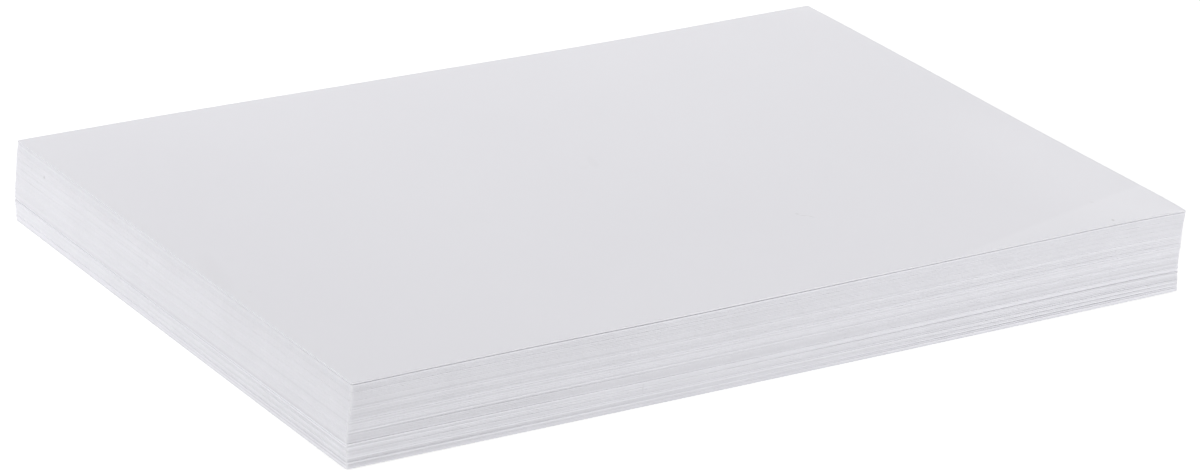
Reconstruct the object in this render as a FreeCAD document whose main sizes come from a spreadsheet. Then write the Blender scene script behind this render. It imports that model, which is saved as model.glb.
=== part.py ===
"""A pack of glossy photo paper: fifty cut sheets in one loose, unwrapped stack.

The frame: +X runs along the sheets' long edge, +Y along their short edge and +Z up.
The origin is the centre of the underside of the bottom sheet, which lies true to the axes.
"""
import FreeCAD, Part
import os
import Sketcher

# ---- driving sizes, in millimetres and degrees -------------------------------------------

SIZES = {
    "sheet_length": 152.4,
    "sheet_width": 101.6,
    "sheet_thickness": 0.274,
    "corner_radius": 0.3,
    "sheet_scatter": 0.012,
    "scatter_step": 137.5,
}

# The sheets were squared up by hand, so they lie a little off each other, some singly and some
# in small batches. From the bottom up: sheets in the batch, slide along X, slide along Y, turn.
BATCHES = [
    (2, 0.00, 0.00, 0.00),
    (1, -0.02, 0.05, 0.04),
    (1, -0.12, -0.01, 0.04),
    (1, -0.04, 0.06, 0.02),
    (2, -0.17, -0.01, 0.06),
    (1, -0.12, 0.04, 0.09),
    (1, -0.24, 0.00, 0.09),
    (1, -0.26, 0.03, 0.10),
    (1, -0.28, 0.05, 0.08),
    (1, -0.26, -0.02, 0.10),
    (1, -0.37, 0.02, 0.14),
    (1, -0.40, -0.03, 0.10),
    (1, -0.30, -0.03, 0.10),
    (5, -0.34, 0.07, 0.09),
    (1, -0.35, 0.09, 0.11),
    (1, -0.38, -0.02, 0.13),
    (1, -0.35, 0.06, 0.14),
    (2, -0.36, -0.01, 0.14),
    (1, -0.31, 0.03, 0.13),
    (1, -0.30, 0.05, 0.13),
    (1, -0.30, -0.05, 0.15),
    (1, -0.28, 0.02, 0.16),
    (1, -0.29, -0.01, 0.18),
    (1, -0.27, 0.05, 0.19),
    (3, -0.27, 0.01, 0.21),
    (1, -0.27, -0.02, 0.22),
    (1, -0.24, 0.05, 0.22),
    (4, -0.23, 0.01, 0.23),
    (1, -0.20, 0.04, 0.23),
    (2, -0.20, 0.02, 0.23),
    (1, -0.16, 0.03, 0.21),
    (1, -0.12, 0.04, 0.20),
    (1, -0.08, 0.08, 0.19),
    (1, -0.04, 0.06, 0.18),
    (1, 0.01, 0.08, 0.17),
    (1, 0.01, 0.11, 0.17),
    (1, -0.02, 0.04, 0.17),
]

BATCH_COLUMNS = ("sheets", "slide_x", "slide_y", "turn")


def fill_spreadsheet(doc):
    """Put every size and every batch in the spreadsheet, one named cell each."""
    cells = doc.addObject("Spreadsheet::Sheet", "Sizes")
    rows = list(SIZES.items())
    for number, batch in enumerate(BATCHES, start=1):
        for column, value in zip(BATCH_COLUMNS, batch):
            rows.append((f"batch{number:02d}_{column}", value))
    for row, (name, value) in enumerate(rows, start=1):
        cells.set(f"A{row}", name)
        cells.set(f"B{row}", str(value))
        cells.setAlias(f"B{row}", name)
    doc.recompute()
    return cells


def origin_plane(body, role):
    """The body's own origin plane with this role."""
    for feature in body.Origin.OriginFeatures:
        if feature.Role == role:
            return feature
    raise RuntimeError(f"{body.Name} has no {role}")


def draw_outline(body, name):
    """The cut rectangle, centred on the body's origin, its two sides bound to the sheet sizes."""
    outline = body.newObject("Sketcher::SketchObject", name + "_outline")
    outline.AttachmentSupport = [(origin_plane(body, "XY_Plane"), "")]
    outline.MapMode = "FlatFace"
    length = SIZES["sheet_length"]
    width = SIZES["sheet_width"]
    corners = [
        FreeCAD.Vector(-length / 2, -width / 2, 0),
        FreeCAD.Vector(length / 2, -width / 2, 0),
        FreeCAD.Vector(length / 2, width / 2, 0),
        FreeCAD.Vector(-length / 2, width / 2, 0),
    ]
    for start, end in zip(corners, corners[1:] + corners[:1]):
        outline.addGeometry(Part.LineSegment(start, end), False)

    front, right, back, left = range(4)
    start, end = 1, 2
    origin = -1
    for side, following in ((front, right), (right, back), (back, left), (left, front)):
        outline.addConstraint(Sketcher.Constraint("Coincident", side, end, following, start))
    for side in (front, back):
        outline.addConstraint(Sketcher.Constraint("Horizontal", side))
    for side in (right, left):
        outline.addConstraint(Sketcher.Constraint("Vertical", side))
    outline.addConstraint(Sketcher.Constraint("Symmetric", front, start, back, start, origin, start))
    along = outline.addConstraint(Sketcher.Constraint("DistanceX", front, start, front, end, length))
    across = outline.addConstraint(Sketcher.Constraint("DistanceY", right, start, right, end, width))
    outline.renameConstraint(along, "length")
    outline.renameConstraint(across, "width")
    outline.setExpression("Constraints.length", "Sizes.sheet_length")
    outline.setExpression("Constraints.width", "Sizes.sheet_width")
    return outline


def upright_edges(shape):
    """Names of the edges that run straight up through the sheet, at its four corners."""
    names = []
    for number, edge in enumerate(shape.Edges, start=1):
        start, end = edge.Vertexes[0].Point, edge.Vertexes[-1].Point
        if abs(start.z - end.z) > abs(start.x - end.x) + abs(start.y - end.y):
            names.append(f"Edge{number}")
    return names


def make_sheet(doc, number, batch_number):
    """One cut sheet of photo paper, laid in its place in the stack.

    The outline is padded to the paper's thickness and its corners are slightly blunted. The
    sheet takes the slide and turn of its batch, and a small scatter of its own.
    """
    name = f"sheet_{number:02d}"
    body = doc.addObject("PartDesign::Body", name)
    body.Label = name

    outline = draw_outline(body, name)
    card = body.newObject("PartDesign::Pad", name + "_card")
    card.Profile = outline
    card.setExpression("Length", "Sizes.sheet_thickness")
    doc.recompute()

    corners = body.newObject("PartDesign::Fillet", name + "_corners")
    corners.Base = (card, upright_edges(card.Shape))
    corners.setExpression("Radius", "Sizes.corner_radius")
    body.Tip = corners

    level = number - 1
    batch = f"Sizes.batch{batch_number:02d}_"
    scatter_x = f"Sizes.sheet_scatter * sin(Sizes.scatter_step * {level})"
    scatter_y = f"Sizes.sheet_scatter * sin(2 * Sizes.scatter_step * {level})"
    body.Placement = FreeCAD.Placement(FreeCAD.Vector(), FreeCAD.Rotation(FreeCAD.Vector(0, 0, 1), 0))
    body.setExpression("Placement.Base.x", f"{batch}slide_x + {scatter_x}")
    body.setExpression("Placement.Base.y", f"{batch}slide_y + {scatter_y}")
    body.setExpression("Placement.Base.z", f"Sizes.sheet_thickness * {level}")
    body.setExpression("Placement.Rotation.Angle", f"{batch}turn")
    return body


def make_pack(doc, cells):
    """Lay the batches one on the other, from the table up."""
    sheets = []
    for batch_number in range(1, len(BATCHES) + 1):
        for _ in range(int(cells.get(f"batch{batch_number:02d}_sheets"))):
            sheets.append(make_sheet(doc, len(sheets) + 1, batch_number))
    doc.recompute()
    return sheets


def check(doc, sheets):
    """Stop if any feature failed or any sheet isn't one sound solid."""
    for item in doc.Objects:
        if "Invalid" in item.State or "Error" in item.State:
            raise RuntimeError(f"{item.Name} failed: {item.State}")
    for body in sheets:
        shape = body.Shape
        if shape.isNull() or not shape.isValid() or len(shape.Solids) != 1:
            raise RuntimeError(f"{body.Label} isn't one sound solid")


def main():
    doc = FreeCAD.newDocument("photo_paper_pack")
    cells = fill_spreadsheet(doc)
    sheets = make_pack(doc, cells)
    check(doc, sheets)
    os.makedirs("parts", exist_ok=True)
    for body in sheets:
        body.Shape.exportStep(f"parts/{body.Label}.step")
    print(f"{len(sheets)} sheets written")


main()
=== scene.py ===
"""A loose pack of glossy photo paper: fifty cut sheets, each in the place its CAD solid gives.

Every sheet is one closed surface: two resin-coated faces and the cut edge that the guillotine
left between them. The paper is a little wavy, so the sheets lie closer together in most of the
pack than their solids do, and thin seams of air lift them towards the right-hand end.

All is in metres. A sheet's own places are u, from 0 at its left end to 1 at its right, and v,
from 0 at its front edge to 1 at its back.
"""
import math

import bpy
import numpy as np
from mathutils import Matrix, Vector


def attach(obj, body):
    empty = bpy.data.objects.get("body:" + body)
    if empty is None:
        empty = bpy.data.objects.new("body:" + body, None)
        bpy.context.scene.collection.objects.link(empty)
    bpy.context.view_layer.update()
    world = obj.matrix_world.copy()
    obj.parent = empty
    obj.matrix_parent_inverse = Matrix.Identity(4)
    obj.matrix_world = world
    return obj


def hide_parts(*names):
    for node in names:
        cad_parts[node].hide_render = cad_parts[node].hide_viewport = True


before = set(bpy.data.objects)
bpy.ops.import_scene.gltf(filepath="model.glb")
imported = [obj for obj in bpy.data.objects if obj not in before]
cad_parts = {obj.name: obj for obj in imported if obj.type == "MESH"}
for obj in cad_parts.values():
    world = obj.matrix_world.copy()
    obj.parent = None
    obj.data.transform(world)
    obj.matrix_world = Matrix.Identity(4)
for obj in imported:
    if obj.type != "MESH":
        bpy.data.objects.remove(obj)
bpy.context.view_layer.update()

MM = 0.001

# ---- the paper ---------------------------------------------------------------------------

CORNER_RADIUS = 0.3 * MM        # the corners are blunted as the solids' are
ARRIS = 0.028 * MM              # how far the knife rounds the upper and lower edge of the cut
ARRIS_STEPS = 3                 # strips in each rounding
PRESSED = 0.965                 # of the solid's height: the rest of it is air between the sheets
WIDTH_SHARE = 2 / 3             # a sheet's width, when distances are measured in its lengths

# The grid of a face: cells along its sides, and lines this far in from each side, which lie
# close together where the corners bend.
CELLS_LONG, CELLS_SHORT = 44, 30
CORNER_STATIONS = np.array([0.0, 0.1, 0.2, 0.3, 0.55, 0.9]) * MM
CROWDING = 0.6                  # how far the other lines gather at both ends, from 0 to 1

# ---- the air between the sheets ----------------------------------------------------------
#
# Each seam opens by the sum of a few shapes. Below, the number of the sheet above the seam,
# and how far each shape opens it, in millimetres.

SEAMS = {
    1: {"curl": 0.20},
    3: {"rise": 0.02},
    4: {"corner": 0.02, "rise": 0.13},
    6: {"corner": 0.02, "rise": 0.10, "belly": 0.03},
    8: {"ridge": 0.02, "rise": 0.02},
    9: {"rise": 0.06, "corner": 0.01, "belly": 0.05},
    11: {"ridge": 0.02, "rise": 0.02},
    13: {"rise": 0.06, "belly": 0.02},
    14: {"corner": 0.02, "ridge": 0.03},
    15: {"back_left": 0.03},
    16: {"left_front": 0.03},
    17: {"rise": 0.01},
    19: {"ridge": 0.02, "rise": 0.02, "back_left": 0.03},
    21: {"ridge": 0.05},
    22: {"rise": 0.01},
    24: {"rise": 0.01, "back_left": 0.03},
    28: {"ridge": 0.03, "rise": 0.01},
    30: {"rise": 0.01},
    31: {"rise": 0.02, "back_left": 0.03},
    32: {"rise": 0.02},
    33: {"rise": 0.02},
    34: {"rise": 0.02},
    37: {"ridge": 0.01, "rise": 0.02},
    40: {"belly": 0.02, "back_left": 0.04},
    42: {"belly": 0.02},
    44: {"belly": 0.02},
    46: {"belly": 0.01},
    48: {"belly": 0.01},
    50: {"even": 0.09, "belly": 0.05, "corner": 0.04, "rise": 0.03},
}


def smooth(along):
    """From 0 to 1 with level ends as along goes from 0 to 1: 3 t^2 - 2 t^3."""
    t = np.clip(along, 0.0, 1.0)
    return t * t * (3.0 - 2.0 * t)


def fade(u, v, corner_u, corner_v, reach):
    """One at a corner of the sheet, falling off as exp(-distance / reach)."""
    return np.exp(-np.hypot(u - corner_u, (v - corner_v) * WIDTH_SHARE) / reach)


def step(along, start, end):
    """From 0 to 1 with level ends as along goes from start to end."""
    return smooth((along - start) / (end - start))


def hump(u, middle, half):
    """A raised cosine along the sheet: one at its middle, nothing from half its width away."""
    away = np.clip(np.abs(u - middle) / half, 0.0, 1.0)
    return 0.5 * (1.0 + np.cos(np.pi * away))


def even(u, v):
    """The same all over."""
    return np.ones_like(u)


def ridge(u, v):
    """A low ridge across the sheet near its left end, a raised cosine that sags at the front."""
    return hump(u, middle=0.15, half=0.27) * (1.0 - fade(u, v, 0, 0, reach=0.06))


# The rise at the right-hand end: places in shares of the length or width, depths in shares of
# the rise.
RISE_BEGINS, BEGINS_LATER = 0.30, 0.30      # along the front edge, and how much later at the back
RISE_ENDS, ENDS_LATER = 0.95, 0.25          # beyond 1, the rise isn't over where the sheet ends
HANG, HANG_FROM = 0.25, 0.88                # how deep the right edge hangs, and from where on
HANG_FADES, HANG_GONE = 0.35, 0.70          # where it fades along that edge, front to back
FRONT_DROOP, FRONT_REACH = 0.5, 0.017       # how deep each tip droops, and how far round it
BACK_DROOP, BACK_REACH = 0.25, 0.05
BEND, BEND_LONG, BEND_SHORT = 0.08, 0.266, 0.117    # the bent corner's depth and its two sides


def rise(u, v):
    """The right-hand end of the sheet, which stands up and hangs at its corners.

    The rise starts farther right at the back, with the cube of v. The front half of the right
    edge hangs, both tips droop, and past a slanting crease the front corner bends down in a
    plane. What is left of the rise is the product of what each of them leaves.
    """
    up = step(u, RISE_BEGINS + BEGINS_LATER * v ** 3, RISE_ENDS + ENDS_LATER * v ** 3)
    hanging = HANG * step(u, HANG_FROM, 1.0) * (1.0 - step(v, HANG_FADES, HANG_GONE))
    front_tip = FRONT_DROOP * fade(u, v, 1, 0, FRONT_REACH)
    back_tip = BACK_DROOP * fade(u, v, 1, 1, BACK_REACH)
    bent = BEND * np.clip(1.0 - (1.0 - u) / BEND_LONG - v / BEND_SHORT, 0.0, 1.0)
    return up * (1.0 - hanging) * (1.0 - front_tip) * (1.0 - back_tip) * (1.0 - bent)


def corner(u, v):
    """Open at the front left corner only."""
    return fade(u, v, 0, 0, reach=0.23)


def left_front(u, v, reach=0.2):
    """Open along the left short edge, closing inwards as exp(-u / reach) and evenly to the back."""
    return np.exp(-u / reach) * (1.0 - v)


def belly(u, v):
    """A wide swelling left of the middle, a raised cosine along the sheet."""
    return hump(u, middle=0.40, half=0.45)


def curl(u, v):
    """Three corners curl up, with the square of the distance from each middle line; the back
    left one lies flat."""
    return (2.0 * u - 1.0) ** 2 * (2.0 * v - 1.0) ** 2 - back_left(u, v)


def back_left(u, v):
    """Open at the back left corner, with the square of the distance from each middle line."""
    return np.clip(1.0 - 2.0 * u, 0.0, 1.0) ** 2 * np.clip(2.0 * v - 1.0, 0.0, 1.0) ** 2


SHAPES = {"even": even, "ridge": ridge, "rise": rise, "corner": corner, "left_front": left_front,
          "belly": belly, "curl": curl, "back_left": back_left}


def lift(number, u, v):
    """How far the seams under a sheet raise it at each point: the sum of all their shapes."""
    height = np.zeros_like(u)
    for above, parts in SEAMS.items():
        if above <= number:
            height += sum(opening * SHAPES[shape](u, v) for shape, opening in parts.items())
    return height * MM


# ---- the grey of the cut edges, with painted shade and light -----------------------------
#
# From 0, the whitest, to 1. The lower sheets are painted whiter and the upper ones greyer, a
# painted light against the shade near the table, and each sheet differs a little at random. Below,
# those that differ more: the sheet's number, then how much greyer its edge is at a few evenly
# spaced places, from left to right along a long edge and from back to front along a short one.

LOW_GREY, HIGH_GREY = 0.25, 0.45            # of the bottom and the top sheet
GREY_SCATTER = 0.05
EVEN_GREYS = (0.0, 0.0)                     # for a sheet that the tables leave out
LEFT_END_SHADE, LEFT_END_SHADE_REACH = 0.22, 9.0 * MM     # painted shade: the long edges are greyer near their left end, by the front corner
CORNER_GLINT_REACH = 0.1 * MM                        # painted highlight: the upright corners are painted whiter, as light catches them

# partly each sheet's own tone, partly painted shade and light: shadow lines under overhanging
# sheets and painted highlights on proud ledges
LONG_EDGE_TONES_AND_SHADE = {
    1: (-0.25, 0.25, 0.20, -0.06), 2: (0.24, 0.08, -0.92), 3: (0.46, 0.24, 0.12),
    4: (-0.56, -0.10, -0.46), 5: (1.06, 0.00, 0.10), 6: (0.26, 0.24, -0.40),
    7: (-0.76, -0.40, 0.12), 8: (-0.22, 0.20), 9: (0.05, 0.14), 10: (-0.05, -0.07),
    11: (0.24, -0.18), 12: (-0.12, -0.05, 0.46), 13: (-0.47, -0.02, -0.64),
    14: (0.28, -0.26, -0.58), 15: (-0.45, -0.14, 0.02), 16: (0.04, 0.17),
    17: (0.31, 0.22, -0.12), 18: (0.21, 0.33), 19: (0.22, 0.12), 20: (0.13, 0.08),
    21: (0.48, 0.05, -0.22), 22: (-0.42, -0.20, 0.05), 23: (0.22, 0.10), 24: (-0.15, 0.05),
    25: (-0.12, -0.17), 26: (-0.18, -0.12), 27: (0.18, 0.05), 28: (-0.18, -0.25, -0.22),
    29: (-0.10, -0.14, -0.05), 30: (0.20, 0.08), 31: (0.08, -0.03), 32: (0.30, -0.05),
    34: (0.14, -0.07), 35: (-0.17, -0.20), 36: (-0.03, 0.05), 37: (0.31, 0.02),
    38: (0.03, 0.00), 40: (-0.12, 0.03), 43: (0.00, 0.15), 44: (0.00, 0.08),
    45: (-0.05, -0.02), 46: (0.09, -0.06, -0.04), 47: (0.07, 0.00, 0.03), 48: (0.00, 0.06),
    49: (-0.36, -0.43, -0.28), 50: (-0.34, -0.45, -0.22),
}
# likewise partly the sheets' own tones, partly painted shade and painted highlights
SHORT_EDGE_TONES_AND_SHADE = {
    1: (0.30, 0.25, 0.00), 2: (0.00, -0.16), 3: (-0.28, 0.60), 4: (-0.12, -0.25),
    5: (-0.08, 0.60), 6: (-0.12, -0.02, 0.06), 7: (0.00, -0.20), 8: (-0.03, 0.20),
    9: (-0.16, 0.17), 10: (-0.08, -0.08), 11: (0.00, -0.15), 12: (-0.05, 0.28),
    13: (-0.25, 0.34), 14: (0.00, -0.36), 15: (0.05, -0.02, -0.60), 16: (0.20, 0.48),
    17: (-0.02, 0.10), 19: (0.10, 0.05), 20: (0.10, 0.03), 21: (0.05, 0.05), 22: (0.05, 0.05),
    25: (0.04, 0.00), 28: (0.00, 0.15), 29: (0.05, 0.06), 35: (0.05, 0.03), 38: (-0.06, 0.00),
    39: (-0.06, 0.00), 40: (-0.06, 0.00), 45: (0.05, 0.05), 48: (-0.05, -0.08),
    49: (0.10, -0.10), 50: (-0.05, -0.45),
}


def greyer_along(greys, share):
    """How much greyer the edge is at each share of its length, straight from place to place."""
    return np.interp(share, np.linspace(0.0, 1.0, len(greys)), greys)


def edge_tone_and_shade(number, u, v, x, y, length, width):
    """The grey of each point of a sheet's cut edge.

    The long and the short edge's greys change into each other round the corner. The painted
    shade falls off as exp(-distance / reach) from the left end of a long edge.
    """
    # painted light: whiter towards the bottom of the pack, against the shade near the table
    plain = LOW_GREY + (HIGH_GREY - LOW_GREY) * number / len(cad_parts)
    plain += np.random.default_rng(number).uniform(-GREY_SCATTER, GREY_SCATTER)
    long_greys = LONG_EDGE_TONES_AND_SHADE.get(number, EVEN_GREYS)
    short_greys = SHORT_EDGE_TONES_AND_SHADE.get(number, EVEN_GREYS)
    from_short, from_long = length / 2 - np.abs(x), width / 2 - np.abs(y)
    on_long = smooth(0.5 + (from_short - from_long) / CORNER_RADIUS)
    # painted shade: darker towards the front corner
    left_end_shade = LEFT_END_SHADE * np.exp(-u * length / LEFT_END_SHADE_REACH)
    greyer = on_long * (greyer_along(long_greys, u) + left_end_shade)
    greyer += (1.0 - on_long) * greyer_along(short_greys, 1.0 - v)
    return plain + greyer


def corner_glint(x, y, length, width):
    """How strong the painted highlight on the corner is: one on its outermost line, falling off
    exponentially.
    """
    from_corner = np.hypot(length / 2 - np.abs(x), width / 2 - np.abs(y))
    nearest = (math.sqrt(2.0) - 1.0) * CORNER_RADIUS
    return np.exp((nearest - from_corner) / CORNER_GLINT_REACH)


# ---- the sheets --------------------------------------------------------------------------

def place_of(node):
    """(centre, turn, length, width, underside, thickness) of a sheet's solid, from its corners.

    A rectangle's corners spread along its own two directions, so the turn is that of the longer
    axis of their second moments, and the sides are the spread measured in those directions.
    """
    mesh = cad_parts[node].data
    points = np.empty(len(mesh.vertices) * 3)
    mesh.vertices.foreach_get("co", points)
    points = points.reshape(-1, 3)
    flat = points[:, :2]
    centre = (flat.max(axis=0) + flat.min(axis=0)) / 2
    offset = flat - centre
    turn = 0.5 * math.atan2(2 * np.mean(offset[:, 0] * offset[:, 1]),
                            np.mean(offset[:, 0] ** 2) - np.mean(offset[:, 1] ** 2))
    own_x = offset @ (math.cos(turn), math.sin(turn))
    own_y = offset @ (-math.sin(turn), math.cos(turn))
    low, high = points[:, 2].min(), points[:, 2].max()
    return centre, turn, np.ptp(own_x), np.ptp(own_y), low, high - low


def stations(half, cells):
    """Where the grid lines lie from -half to half: close together at both ends, wide between.

    Between the corners' own lines they are a mix of evenly spaced ones and of the cosines of
    evenly spaced angles.
    """
    inner = half - CORNER_STATIONS[-1]
    middle = -np.cos(np.linspace(0.0, np.pi, cells + 1))
    spread = np.linspace(-1.0, 1.0, cells + 1)
    middle = (CROWDING * middle + (1.0 - CROWDING) * spread) * inner
    return np.concatenate([CORNER_STATIONS[:-1] - half, middle, half - CORNER_STATIONS[-2::-1]])


def rounded(x, y, half_x, half_y, inset):
    """Bend a rectangular grid's square corners into quarter discs, and draw it in by inset.

    In a corner square of side one, (a, b) goes to (a sqrt(1 - b^2 / 2), b sqrt(1 - a^2 / 2)),
    which takes the square's outer corner onto the circle and leaves its inner sides alone.
    """
    core_x, core_y = half_x - CORNER_RADIUS, half_y - CORNER_RADIUS
    a = np.clip((np.abs(x) - core_x) / CORNER_RADIUS, 0.0, 1.0)
    b = np.clip((np.abs(y) - core_y) / CORNER_RADIUS, 0.0, 1.0)
    reach = CORNER_RADIUS - inset
    out_x = np.minimum(np.abs(x), core_x) + reach * a * np.sqrt(1.0 - b * b / 2)
    out_y = np.minimum(np.abs(y), core_y) + reach * b * np.sqrt(1.0 - a * a / 2)
    return np.sign(x) * out_x, np.sign(y) * out_y


def rim_profile(thickness):
    """The cut edge from the upper face down: (inset, height) of each ring, a rounded arris,
    the straight cut and the lower arris."""
    angle = np.linspace(0.0, np.pi / 2, ARRIS_STEPS + 1)
    inset = ARRIS * (1.0 - np.sin(angle))
    drop = ARRIS * (1.0 - np.cos(angle))
    upper = np.stack([inset, thickness - drop], axis=1)
    lower = np.stack([inset[::-1], drop[::-1]], axis=1)
    return np.concatenate([upper, lower])


def loop_around(number):
    """The numbers on the border of a grid of vertex numbers, counter-clockwise."""
    return np.concatenate([number[0, :-1], number[:-1, -1], number[-1, :0:-1], number[:0:-1, 0]])


UPPER_FACE, CUT_EDGE, LOWER_FACE = 0, 1, 2      # the parts of a sheet, in its materials' order


def sheet_surface(length, width, thickness):
    """Vertices, quads, and the part of the sheet that each quad belongs to.

    The two faces are grids whose borders are joined by rings that follow the rim's profile.
    """
    half_x, half_y = length / 2, width / 2
    x, y = np.meshgrid(stations(half_x, CELLS_LONG), stations(half_y, CELLS_SHORT))
    number = np.arange(x.size).reshape(x.shape)
    border = loop_around(number)
    profile = rim_profile(thickness)

    face_x, face_y = rounded(x, y, half_x, half_y, profile[0, 0])
    upper = np.stack([face_x, face_y, np.full_like(x, thickness)], axis=-1).reshape(-1, 3)
    lower = upper * (1.0, 1.0, 0.0)
    rings = []
    for inset, height in profile[1:-1]:
        ring_x, ring_y = rounded(x.ravel()[border], y.ravel()[border], half_x, half_y, inset)
        rings.append(np.stack([ring_x, ring_y, np.full(len(border), height)], axis=1))
    vertices = np.concatenate([upper, *rings, lower])

    quads_up = np.stack([number[:-1, :-1], number[:-1, 1:],
                         number[1:, 1:], number[1:, :-1]], axis=-1).reshape(-1, 4)
    first_lower = len(upper) + len(border) * len(rings)
    quads_down = quads_up[:, ::-1] + first_lower
    ring_numbers = [border]
    for level in range(len(rings)):
        ring_numbers.append(len(upper) + level * len(border) + np.arange(len(border)))
    ring_numbers.append(border + first_lower)
    quads_rim = []
    for above, below in zip(ring_numbers, ring_numbers[1:]):
        quads_rim.append(np.stack([above, below, np.roll(below, -1), np.roll(above, -1)], axis=1))
    quads_rim = np.concatenate(quads_rim)
    quads = np.concatenate([quads_up, quads_rim, quads_down])
    part = np.concatenate([np.full(len(quads_up), UPPER_FACE), np.full(len(quads_rim), CUT_EDGE),
                           np.full(len(quads_down), LOWER_FACE)])
    return vertices, quads, part


def in_scene(name, data):
    """A new object of the scene that holds a mesh, a lamp or a camera."""
    thing = bpy.data.objects.new(name, data)
    bpy.context.scene.collection.objects.link(thing)
    return thing


def point_values(mesh, name, values):
    """Give each vertex a value that the materials can read by its name."""
    mesh.attributes.new(name, "FLOAT", "POINT").data.foreach_set("value", values)


def make_sheet(number, finishes):
    """One sheet of the pack, in its solid's place, lifted by the seams of air below it.

    The sheet is turned about its middle and moved there, and the pack as a whole is pressed.
    """
    name = f"paper_{number:02d}"
    node = f"sheet_{number:02d}"
    centre, turn, length, width, underside, thickness = place_of(node)
    vertices, quads, part = sheet_surface(length, width, thickness * PRESSED)

    x, y, z = vertices.T
    u = np.clip(x / length + 0.5, 0.0, 1.0)
    v = np.clip(y / width + 0.5, 0.0, 1.0)
    cos, sin = math.cos(turn), math.sin(turn)
    placed = np.stack([
        centre[0] + cos * x - sin * y,
        centre[1] + sin * x + cos * y,
        underside * PRESSED + z + lift(number, u, v),
    ], axis=1)

    mesh = bpy.data.meshes.new(name)
    mesh.from_pydata(placed.tolist(), [], quads.tolist())
    mesh.polygons.foreach_set("material_index", part.astype(np.int32))
    mesh.polygons.foreach_set("use_smooth", np.ones(len(quads), dtype=bool))
    for finish in finishes:
        mesh.materials.append(finish)
    # the cut edge's own tones, mixed with painted shade and light
    point_values(mesh, "edge_tone_and_shade", edge_tone_and_shade(number, u, v, x, y, length, width))
    # the painted highlight of the upright corners
    point_values(mesh, "corner_glint", corner_glint(x, y, length, width))
    mesh.update()

    piece = in_scene(name, mesh)
    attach(piece, "root")
    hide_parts(node)


# ---- materials ---------------------------------------------------------------------------

class Signal:
    """A value on its way through a material. Arithmetic on it adds the Math node it needs."""

    def __init__(self, finish, socket):
        self.finish = finish
        self.socket = socket

    def math(self, operation, first, second):
        """What a Math node makes of two values, either of which may be a plain number."""
        node = self.finish.node("ShaderNodeMath", {"operation": operation}, {0: first, 1: second})
        return node.out("Value")

    def __add__(self, other):
        return self.math("ADD", self, other)

    def __radd__(self, other):
        return self.math("ADD", other, self)

    def __sub__(self, other):
        return self.math("SUBTRACT", self, other)

    def __rsub__(self, other):
        return self.math("SUBTRACT", other, self)

    def __mul__(self, other):
        return self.math("MULTIPLY", self, other)

    def __rmul__(self, other):
        return self.math("MULTIPLY", other, self)

    def __truediv__(self, other):
        return self.math("DIVIDE", self, other)

    def __rtruediv__(self, other):
        return self.math("DIVIDE", other, self)

    def clipped(self):
        """The value held between 0 and 1."""
        return self.finish.node("ShaderNodeClamp", {}, {"Value": self}).out("Result")


class Node:
    """A node just added, whose outputs are read by name."""

    def __init__(self, finish, node):
        self.finish = finish
        self.node = node

    def out(self, name):
        """The value of one output, by its name or its number."""
        return Signal(self.finish, self.node.outputs[name])


MIX_FIRST, MIX_SECOND, MIXED = 6, 7, 2      # the colour sockets of a Mix node, by number


class Finish:
    """The node tree of one material or of the world."""

    def __init__(self, tree):
        self.tree = tree
        self.tree.nodes.clear()

    def node(self, kind, settings, sockets):
        """Add a node: its settings first, then a value or a link for each socket named."""
        node = self.tree.nodes.new(kind)
        for name, value in settings.items():
            setattr(node, name, value)
        for name, value in sockets.items():
            if isinstance(value, Signal):
                self.tree.links.new(value.socket, node.inputs[name])
            else:
                node.inputs[name].default_value = value
        return Node(self, node)

    def blend(self, factor, first, second):
        """first where factor is 0, second where it is 1, for colours."""
        return self.node("ShaderNodeMix", {"data_type": "RGBA"}, {
            0: factor, MIX_FIRST: first, MIX_SECOND: second}).out(MIXED)


def new_material(name):
    """An empty material and its node tree."""
    material = bpy.data.materials.new(name)
    material.use_nodes = True
    return material, Finish(material.node_tree)


# The paper's colours: the coated face and its cloudy shade, the grey of the marks, the plain
# back, and the core that shows on the cut edges, from the whitest to the greyest and painted
# lighter.

PAPER_WHITE = (0.785, 0.781, 0.823, 1.0)
PAPER_SHADE = (0.735, 0.729, 0.772, 1.0)
MARK_GREY = (0.45, 0.44, 0.45, 1.0)
BACK_WHITE = (0.76, 0.76, 0.77, 1.0)
BACK_SHADE = (0.72, 0.72, 0.73, 1.0)
CORE_WHITE = (0.830, 0.828, 0.864, 1.0)
CORE_GREY = (0.640, 0.637, 0.668, 1.0)
CORE_GLINT = (0.930, 0.928, 0.955, 1.0)

# The patterns: how many of their details go to a metre, then how strongly they colour the
# surface, or how strongly and how high they raise it.

CLOUDS, CLOUDINESS = 28.0, 0.5
USUAL_SHADE = 0.74                          # how far the coated face is shaded between its clouds
SKIN, SKIN_BUMP, SKIN_DEPTH = 1500.0, 0.02, 0.02 * MM
BACK_MOTTLE = 220.0
FIBRES, FIBRE_GREY, FIBRE_BUMP, FIBRE_DEPTH = 2600.0, 0.2, 0.2, 0.03 * MM
BLOTS, BLOT_GREY = 160.0, 0.2

SATIN, DULL, MATT = 0.34, 0.55, 0.75        # roughness of the coated face, back and cut edge
COATED_IOR, CUT_IOR = 1.5, 1.45


def noise(finish, where, scale, detail=2.0):
    """A cloud of values around a half, with details scale times to the metre."""
    return finish.node("ShaderNodeTexNoise", {}, {
        "Vector": where, "Scale": scale, "Detail": detail}).out("Fac")


def relief(finish, height, strength, depth):
    """The normal of a skin that stands up by depth where height is one."""
    return finish.node("ShaderNodeBump", {}, {
        "Strength": strength, "Distance": depth, "Height": height}).out("Normal")


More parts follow.
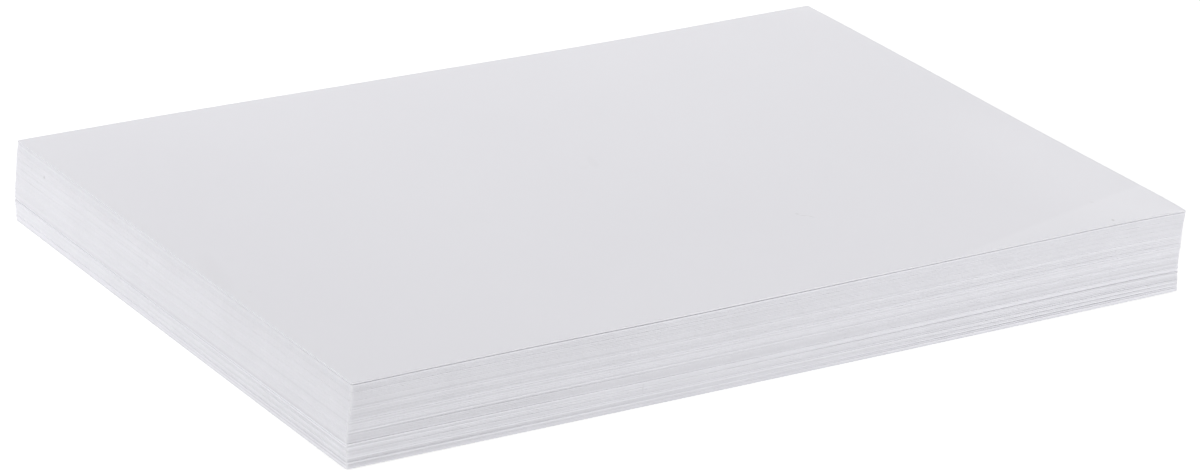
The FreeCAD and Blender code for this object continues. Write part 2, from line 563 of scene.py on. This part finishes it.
def paper_shader(finish, colour, roughness, ior, normal=None):
    """The one shader of a paper surface, joined to the material's output."""
    sockets = {"Base Color": colour, "Roughness": roughness, "IOR": ior}
    if normal is not None:
        sockets["Normal"] = normal
    shader = finish.node("ShaderNodeBsdfPrincipled", {}, sockets)
    finish.node("ShaderNodeOutputMaterial", {}, {"Surface": shader.out("BSDF")})


def object_place(finish):
    """Where a point lies on the object, as a vector."""
    return finish.node("ShaderNodeTexCoord", {}, {}).out("Object")


# Small marks: centre and half sizes in millimetres, turn about Z in degrees, how dark.
FACE_MARKS = [
    ((18.7, -25.9, 13.6), (0.40, 0.50, 1.0), 0, 0.24),          # a fibre: its knot,
    ((19.3, -26.9, 13.6), (0.90, 0.18, 1.0), -23, 0.28),        # its middle
    ((20.1, -27.8, 13.6), (0.70, 0.18, 1.0), -62, 0.30),        # and its tail
    ((64.2, -41.9, 13.7), (0.45, 0.50, 1.0), 0, 0.16),          # a speck near the crease
    ((62.5, -49.2, 13.7), (0.32, 0.36, 1.0), 0, 0.85),          # a dark one by the long edge
    ((-72.8, -16.4, 13.4), (0.40, 0.50, 1.0), 0, 0.08),         # a faint one by the short edge
    ((-74.0, -8.0, 13.4), (2.20, 9.00, 1.0), -15, 0.055),       # a faint darker patch behind it, along the short edge
    ((1.6, 5.5, 13.5), (0.90, 3.20, 1.0), -17, 0.055),          # a faint swirl
    ((-1.1, 4.1, 13.5), (0.80, 0.80, 1.0), 0, 0.05),            # and the spot beside it
]
EDGE_MARKS = [
    ((-76.5, 41.0, 10.9), (0.60, 0.32, 0.32), 0, 0.50),         # a speck
    ((-76.5, 7.9, 9.3), (0.60, 0.45, 0.80), 0, 0.10),           # a fingertip's smudge
    ((-25.9, -50.9, 3.2), (0.14, 0.50, 0.90), 0, 0.22),         # a nick across a few sheets
]

# The crease across the front right corner, past which the top sheet is painted lighter for the
# light
# that falls on the bent corner: a point of it and its direction, in millimetres and degrees, over
# how many millimetres the tone changes, and how much of the shade goes.

CREASE_START, CREASE_TURN = (35.6, -49.2, 0.0), 14.1
CREASE_SOFTNESS = 1.0
CREASE_PAINTED_LIGHT = 0.40
IN_MILLIMETRES = (1.0, 1.0, 1.0)


def local(finish, where, centre, sizes, turn):
    """The place in a mark's own axes: moved, turned back and measured in its half sizes."""
    return finish.node("ShaderNodeMapping", {"vector_type": "TEXTURE"}, {
        "Vector": where, "Location": tuple(value * MM for value in centre),
        "Rotation": (0.0, 0.0, math.radians(turn)),
        "Scale": tuple(value * MM for value in sizes)}).out("Vector")


def marked(finish, where, colour, marks):
    """The colour with small soft marks on it, each fading as 1 - distance^2 from its centre."""
    for centre, sizes, turn, darkness in marks:
        own = local(finish, where, centre, sizes, turn)
        far = finish.node("ShaderNodeVectorMath", {"operation": "LENGTH"}, {0: own}).out("Value")
        colour = finish.blend((1.0 - far * far).clipped() * darkness, colour, MARK_GREY)
    return colour


def beyond_crease(finish, where):
    """One in front of the slanting crease at the front right corner, nothing behind it, and a
    straight
    change across it: where the top sheet is painted lighter."""
    own = local(finish, where, CREASE_START, IN_MILLIMETRES, CREASE_TURN)
    across = finish.node("ShaderNodeSeparateXYZ", {}, {"Vector": own}).out("Y")
    return (0.5 - across / CREASE_SOFTNESS).clipped()


def coated_face(name, top):
    """The resin-coated side: white, satin, with a faint cloudiness and a fine even skin. The top
    sheet's also has small marks, and painted light past the crease at its front right corner."""
    material, finish = new_material(name)
    where = object_place(finish)
    clouds = noise(finish, where, CLOUDS, detail=3.0)
    shade = (clouds - 0.5) * CLOUDINESS + USUAL_SHADE
    if top:
        # painted light: the bent corner past the crease catches more light, painted here as a
        # lighter tone
        shade = shade - beyond_crease(finish, where) * CREASE_PAINTED_LIGHT
    colour = finish.blend(shade.clipped(), PAPER_WHITE, PAPER_SHADE)
    if top:
        colour = marked(finish, where, colour, FACE_MARKS)
    skin = relief(finish, noise(finish, where, SKIN, detail=1.0), SKIN_BUMP, SKIN_DEPTH)
    paper_shader(finish, colour, SATIN, COATED_IOR, skin)
    return material


def plain_back(name):
    """The unprinted back of the paper: a duller, faintly mottled white."""
    material, finish = new_material(name)
    where = object_place(finish)
    mottle = noise(finish, where, BACK_MOTTLE, detail=3.0)
    paper_shader(finish, finish.blend(mottle, BACK_WHITE, BACK_SHADE), DULL, COATED_IOR)
    return material


def cut_edge(name):
    """The guillotined edge: matt paper core, each sheet its own shade of white with painted shade
    and light in it, with fibres and blots, and a painted highlight on its upright corners."""
    material, finish = new_material(name)
    where = object_place(finish)
    # each sheet's own edge tone, with painted shade and light in it
    grey = finish.node("ShaderNodeAttribute", {"attribute_name": "edge_tone_and_shade"}, {}).out("Fac")
    fibre = noise(finish, where, FIBRES)
    blot = noise(finish, where, BLOTS)
    grey = (grey + (fibre - 0.5) * FIBRE_GREY + (blot - 0.5) * BLOT_GREY).clipped()
    # painted highlight: the upright corners painted whiter where the light catches them
    glint = finish.node("ShaderNodeAttribute", {"attribute_name": "corner_glint"}, {}).out("Fac")
    colour = finish.blend(glint.clipped(), finish.blend(grey, CORE_WHITE, CORE_GREY), CORE_GLINT)
    colour = marked(finish, where, colour, EDGE_MARKS)
    paper_shader(finish, colour, MATT, CUT_IOR, relief(finish, fibre, FIBRE_BUMP, FIBRE_DEPTH))
    return material


# ---- stage, light and camera -------------------------------------------------------------

SKY = 0.25                                  # how strongly the white room lights the pack
WHITE = (1.0, 1.0, 1.0, 1.0)

TABLE_HALF = 3.0                            # half the table top's side
TABLE_BELOW = 0.01 * MM                     # how far it lies below the pack's underside
TABLE_LIT = (0.86, 0.86, 0.87, 1.0)         # its colour for the light that it throws back
TABLE_SEEN, TABLE_GLOW = (0.42, 0.42, 0.42, 1.0), 0.75      # its colour and glow as it is seen

# Each lamp's name, place, width, height and watts. They stand so close that their light falls
# off along the pack's sides, and the low one behind gives the top its sheen.
LAMPS = [
    ("left_box", (-0.45, 0.38, 0.28), 0.35, 0.35, 2.11),
    ("front_right_box", (0.17, -0.36, 0.20), 0.35, 0.35, 0.89),
    ("front_left_box", (-0.57, -0.57, 0.30), 0.40, 0.40, 1.60),
    ("back_box", (-0.10, 0.40, 0.20), 0.30, 0.20, 0.50),
    ("right_box", (0.45, 0.05, 0.18), 0.25, 0.25, 0.23),
    ("low_back_box", (0.90, 0.75, 0.20), 1.30, 0.35, 2.58),
]
LAMPS_FACE = (0.0, 0.0, 0.01)

# The camera's angles are in degrees: its azimuth from straight in front, negative to the left,
# and its roll about its own line of sight. The lens and the sensor's width are in millimetres.
CAMERA_AZIMUTH, CAMERA_ELEVATION, CAMERA_ROLL = -34.951, 22.396, 4.026
CAMERA_AIM = Vector((-5.16, -7.54, 6.92)) * MM
CAMERA_DISTANCE = 755.25 * MM
LENS, SENSOR = 146.1, 36.0


def seen_directly(finish):
    """One for what the camera sees straight, in gloss or through glass; nothing for light."""
    path = finish.node("ShaderNodeLightPath", {}, {})
    straight = path.out("Is Camera Ray") + path.out("Is Glossy Ray")
    return (straight + path.out("Is Transmission Ray")).clipped()


def light_world():
    """The white room: a weak light all round, and plain white behind everything."""
    world = bpy.data.worlds.new("studio")
    bpy.context.scene.world = world
    world.use_nodes = True
    finish = Finish(world.node_tree)
    strength = seen_directly(finish) * (1.0 - SKY) + SKY
    backdrop = finish.node("ShaderNodeBackground", {}, {"Color": WHITE, "Strength": strength})
    finish.node("ShaderNodeOutputWorld", {}, {"Surface": backdrop.out("Background")})


def lay_floor():
    """A wide white table top that keeps the pack's soft shadow."""
    mesh = bpy.data.meshes.new("table_top")
    square = np.array([(-1, -1, 0), (1, -1, 0), (1, 1, 0), (-1, 1, 0)]) * TABLE_HALF
    mesh.from_pydata((square - (0, 0, TABLE_BELOW)).tolist(), [], [(0, 1, 2, 3)])
    material, finish = new_material("table_top")
    lit = finish.node("ShaderNodeBsdfDiffuse", {}, {"Color": TABLE_LIT})
    seen = finish.node("ShaderNodeBsdfDiffuse", {}, {"Color": TABLE_SEEN})
    glow = finish.node("ShaderNodeEmission", {}, {"Color": WHITE, "Strength": TABLE_GLOW})
    bright = finish.node("ShaderNodeAddShader", {}, {0: seen.out("BSDF"), 1: glow.out("Emission")})
    shader = finish.node("ShaderNodeMixShader", {},
                         {0: seen_directly(finish), 1: lit.out("BSDF"), 2: bright.out("Shader")})
    finish.node("ShaderNodeOutputMaterial", {}, {"Surface": shader.out("Shader")})
    mesh.materials.append(material)
    in_scene("table_top", mesh)


def aim_at(thing, place, target, roll=0.0):
    """Set a lamp or camera at place, looking at target, rolled about its own line of sight."""
    back = (Vector(place) - Vector(target)).normalized()
    right = Vector((0, 0, 1)).cross(back).normalized()
    up = back.cross(right)
    turned = Matrix((right, up, back)).transposed().to_4x4() @ Matrix.Rotation(roll, 4, "Z")
    thing.matrix_world = Matrix.Translation(Vector(place)) @ turned


def hang_lamp(name, place, width, height, watts):
    """A soft box that faces the pack."""
    light = bpy.data.lights.new(name, "AREA")
    light.shape = "RECTANGLE"
    light.size = width
    light.size_y = height
    light.energy = watts
    aim_at(in_scene(name, light), place, LAMPS_FACE)


def set_camera():
    """A long lens above and to the left of the pack's front corner, rolled a little."""
    azimuth, elevation = math.radians(CAMERA_AZIMUTH), math.radians(CAMERA_ELEVATION)
    back = Vector((math.sin(azimuth) * math.cos(elevation),
                   -math.cos(azimuth) * math.cos(elevation),
                   math.sin(elevation)))
    data = bpy.data.cameras.new("camera")
    data.sensor_width = SENSOR
    data.lens = LENS
    camera = in_scene("camera", data)
    place = CAMERA_AIM + back * CAMERA_DISTANCE
    aim_at(camera, place, CAMERA_AIM, math.radians(CAMERA_ROLL))
    bpy.context.scene.camera = camera


def main():
    """The camera, the light and the table, and then the sheets from the table up."""
    bpy.context.scene.view_settings.view_transform = "Standard"
    set_camera()
    light_world()
    lay_floor()
    for lamp in LAMPS:
        hang_lamp(*lamp)

    inner_face = coated_face("coated_face", top=False)
    top_face = coated_face("top_face", top=True)
    edge, back = cut_edge("cut_edge"), plain_back("plain_back")
    last = len(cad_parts)
    for number in range(1, last + 1):
        make_sheet(number, [top_face if number == last else inner_face, edge, back])


main()
